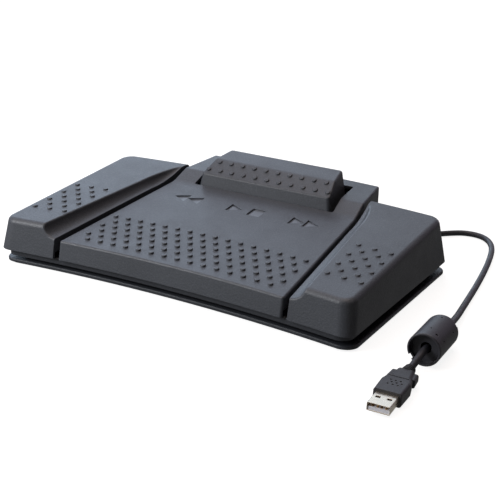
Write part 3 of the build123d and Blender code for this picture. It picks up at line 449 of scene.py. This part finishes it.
def make_springs():
    """A copy of each spring's wire, made narrower about its fixed end by the listed share of its
    width.
    """
    for node, joint, fixed_end, keep, width in SPRINGS:
        wire = bpy.data.objects.new(node + "_wire", nodes[node].data.copy())
        place = nodes[node].matrix_world
        axis = Matrix.Translation(at(*fixed_end))
        slimmer = axis @ Matrix.Diagonal((width, width, 1, 1)) @ axis.inverted()
        wire.data.transform(place.inverted() @ slimmer @ place)
        wire.matrix_world = place
        bpy.context.scene.collection.objects.link(wire)
        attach(wire, "base")
        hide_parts(node)
        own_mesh(wire)


# ---- studio -------------------------------------------------------------------------------
FLOOR_SEEN = 0.86           # what the pale floor shows by itself, beside what the lights add to it
FLOOR_BOUNCE = 0.19         # the light that it gives back to the object

# Wide soft lamps far off: azimuth from +Y towards +X and elevation in degrees, half width, colour.
SOFT_LAMPS = (
    (-45, 12, 28, (1.24, 1.56, 1.92)),
    (-20, 12, 28, (0.46, 0.54, 0.58)),
    (5, 12, 28, (0.52, 0.46, 0.58)),
    (-45, 45, 33, (1.26, 1.36, 1.66)),
    (0, 90, 33, (2.25, 1.88, 1.66)),
    (-126, 54, 18, (2.6, 2.5, 2.5)),
    (-95, 15, 28, (0.7, 0.72, 0.8)),
)
LAMP_CORE = 4.0             # half width of a soft lamp's even middle, in degrees

# The lamp close by, in front and to the left: metres and watts.
NEAR_LAMP_PLACE = (-0.42, -0.52, 0.30)
NEAR_LAMP_AIM = (-0.05, -0.05, 0.02)
NEAR_LAMP_SIZE = 0.3
NEAR_LAMP_POWER = 3.6
NEAR_LAMP_COLOUR = (0.96, 0.97, 1.0)

FLOOR_HALF = 6.0
FLOOR_LEVEL = -0.0002       # just under the object's feet


def make_floor():
    mesh = bpy.data.meshes.new("floor")
    near, far = -FLOOR_HALF, FLOOR_HALF
    corners = [(x, y, FLOOR_LEVEL) for x, y in ((near, near), (far, near), (far, far), (near, far))]
    mesh.from_pydata(corners, [], [(0, 1, 2, 3)])
    floor = bpy.data.objects.new("floor", mesh)
    bpy.context.scene.collection.objects.link(floor)
    s = Shader("pale_floor")
    s.link(s.remap(s.noise(3.0, 2.0), 0.3, 0.7, 0.8, 0.9), s.bsdf.inputs["Roughness"])
    s.set(Base_Color=(0.35, 0.35, 0.35, 1), Specular_IOR_Level=0.0)
    s.set(Emission_Color=(1, 1, 1, 1), Emission_Strength=FLOOR_SEEN)
    dim = s.add("ShaderNodeEmission")
    dim.inputs["Strength"].default_value = FLOOR_BOUNCE
    choice = s.add("ShaderNodeMixShader")
    s.link(s.add("ShaderNodeLightPath").outputs["Is Camera Ray"], choice.inputs["Fac"])
    s.link(dim.outputs["Emission"], choice.inputs[1])
    s.link(s.bsdf.outputs["BSDF"], choice.inputs[2])
    s.link(choice.outputs["Shader"], s.out.inputs["Surface"])
    mesh.materials.append(s.material)


def make_near_lamp():
    data = bpy.data.lights.new("front_left_softbox", "AREA")
    data.shape = "SQUARE"
    data.size = NEAR_LAMP_SIZE
    data.energy = NEAR_LAMP_POWER
    data.color = NEAR_LAMP_COLOUR
    light = bpy.data.objects.new("front_left_softbox", data)
    light.location = NEAR_LAMP_PLACE
    sight = Vector(NEAR_LAMP_AIM) - Vector(NEAR_LAMP_PLACE)
    light.rotation_euler = sight.to_track_quat("-Z", "Y").to_euler()
    bpy.context.scene.collection.objects.link(light)


class Sky:
    """The studio's far lamps, summed in the world's background."""

    def __init__(self):
        self.world = bpy.data.worlds.new("studio")
        self.world.use_nodes = True
        self.tree = self.world.node_tree
        self.background = self.tree.nodes["Background"]
        self.direction = self.tree.nodes.new("ShaderNodeTexCoord").outputs["Generated"]
        self.total = None

    def vector(self, operation, first, second):
        node = self.tree.nodes.new("ShaderNodeVectorMath")
        node.operation = operation
        for socket, value in zip(node.inputs, (first, second)):
            if isinstance(value, tuple):
                socket.default_value = value
            else:
                self.tree.links.new(value, socket)
        return node

    def lamp(self, azimuth, elevation, half_width, colour):
        azimuth, elevation = math.radians(azimuth), math.radians(elevation)
        towards = (
            math.sin(azimuth) * math.cos(elevation),
            math.cos(azimuth) * math.cos(elevation),
            math.sin(elevation),
        )
        nearness = self.tree.nodes.new("ShaderNodeMapRange")
        nearness.interpolation_type = "SMOOTHSTEP"
        dot = self.vector("DOT_PRODUCT", self.direction, towards)
        self.tree.links.new(dot.outputs["Value"], nearness.inputs["Value"])
        nearness.inputs["From Min"].default_value = math.cos(math.radians(half_width))
        nearness.inputs["From Max"].default_value = math.cos(math.radians(LAMP_CORE))
        scaled = self.vector("MULTIPLY", nearness.outputs["Result"], colour).outputs["Vector"]
        if self.total is not None:
            scaled = self.vector("ADD", self.total, scaled).outputs["Vector"]
        self.total = scaled

    def finish(self):
        """The lamps light the object; the backdrop itself is seen plain white."""
        link = self.tree.links.new
        backdrop = self.tree.nodes.new("ShaderNodeBackground")
        backdrop.inputs["Color"].default_value = (1, 1, 1, 1)
        seen = self.tree.nodes.new("ShaderNodeLightPath").outputs["Is Camera Ray"]
        choice = self.tree.nodes.new("ShaderNodeMixShader")
        link(self.total, self.background.inputs["Color"])
        link(seen, choice.inputs["Fac"])
        link(self.background.outputs["Background"], choice.inputs[1])
        link(backdrop.outputs["Background"], choice.inputs[2])
        link(choice.outputs["Shader"], self.tree.nodes["World Output"].inputs["Surface"])
        bpy.context.scene.world = self.world


def make_lights():
    sky = Sky()
    for azimuth, elevation, half_width, colour in SOFT_LAMPS:
        sky.lamp(azimuth, elevation, half_width, colour)
    sky.finish()
    make_near_lamp()
    bpy.context.scene.view_settings.view_transform = "Standard"


# ---- making -------------------------------------------------------------------------------
make_camera()
materials = make_materials()
make_cord(materials["cable_jacket"])
dress_nodes(materials)
make_springs()
make_floor()
make_lights()

bpy.context.view_layer.update()
